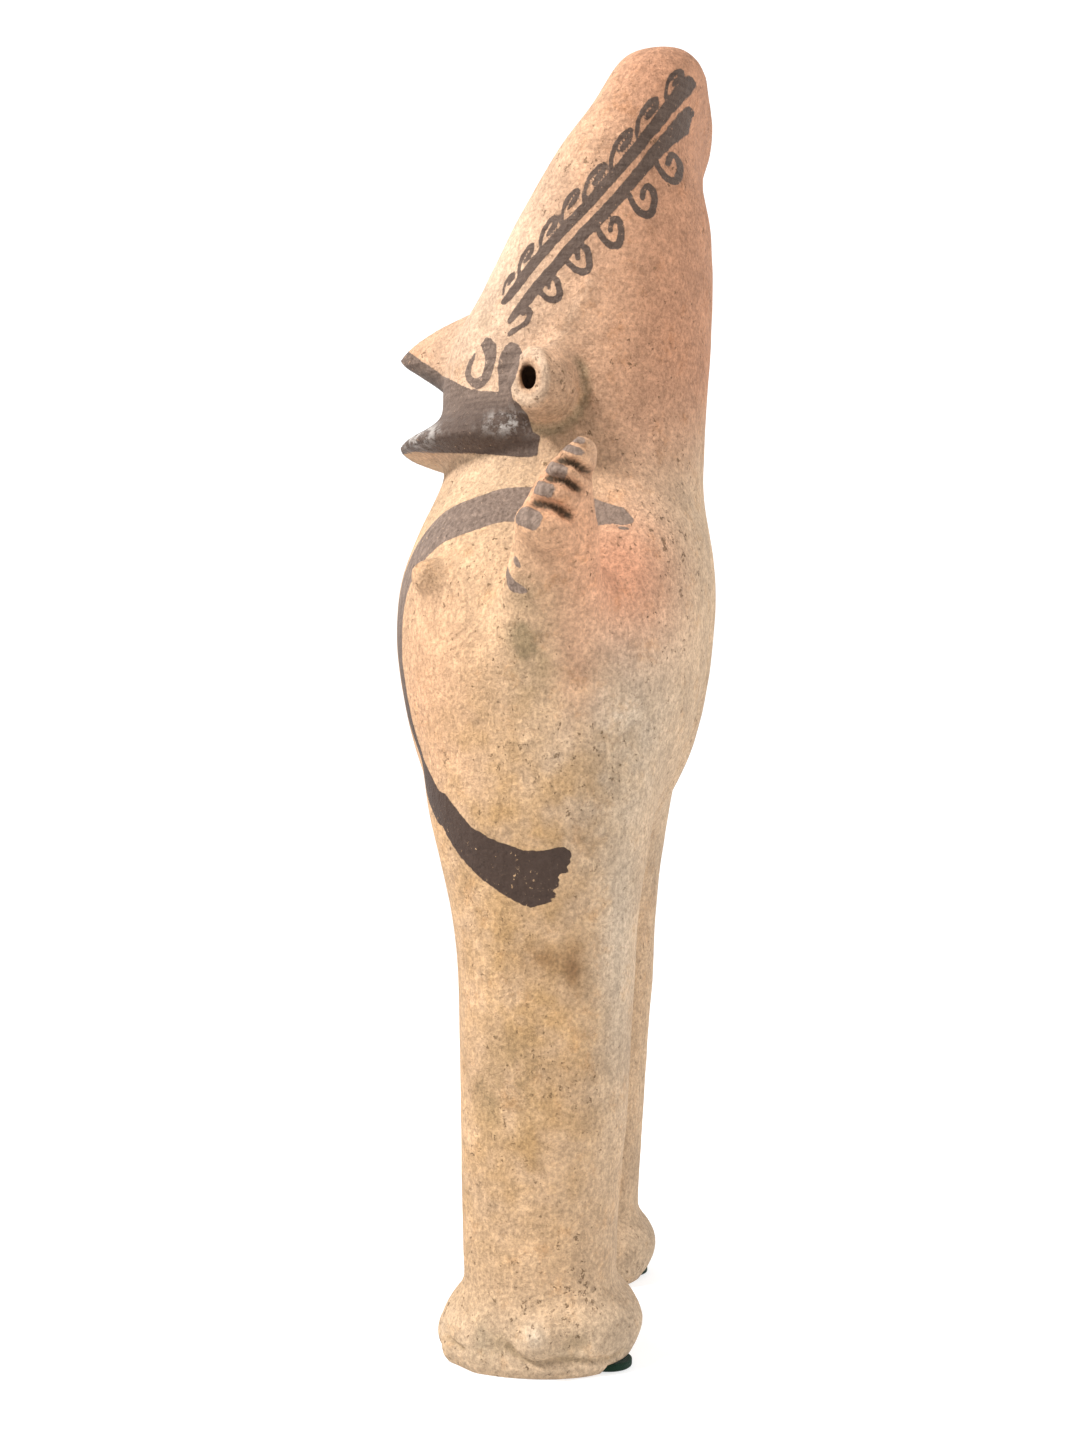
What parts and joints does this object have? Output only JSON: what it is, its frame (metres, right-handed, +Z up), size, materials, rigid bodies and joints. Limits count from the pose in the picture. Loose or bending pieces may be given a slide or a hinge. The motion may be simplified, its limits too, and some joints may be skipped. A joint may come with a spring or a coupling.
{
  "type": "cuchimilco figure",
  "caption": "Standing fired-clay figure with a tall sloping head, beak nose, pierced ear lugs, short raised arms and thick legs, on round felt pads under the heels.",
  "frame": {"origin": "on the ground under the middle of the figure's box, between its feet", "axes": "+Z up through the head, -Y the way the figure faces, +X its left side"},
  "size_m": [0.2609, 0.1347, 0.5197],
  "materials": {
    "painted_clay": "matt fired clay under a pale buff slip, with brush strokes, stains and dark brown painted bands",
    "green_felt": "dark green wool felt"
  },
  "bodies": {
    "root": {"cuchimilco_figure": "painted_clay", "left_heel_felt": "green_felt", "right_heel_felt": "green_felt"}
  },
  "joints": []
}
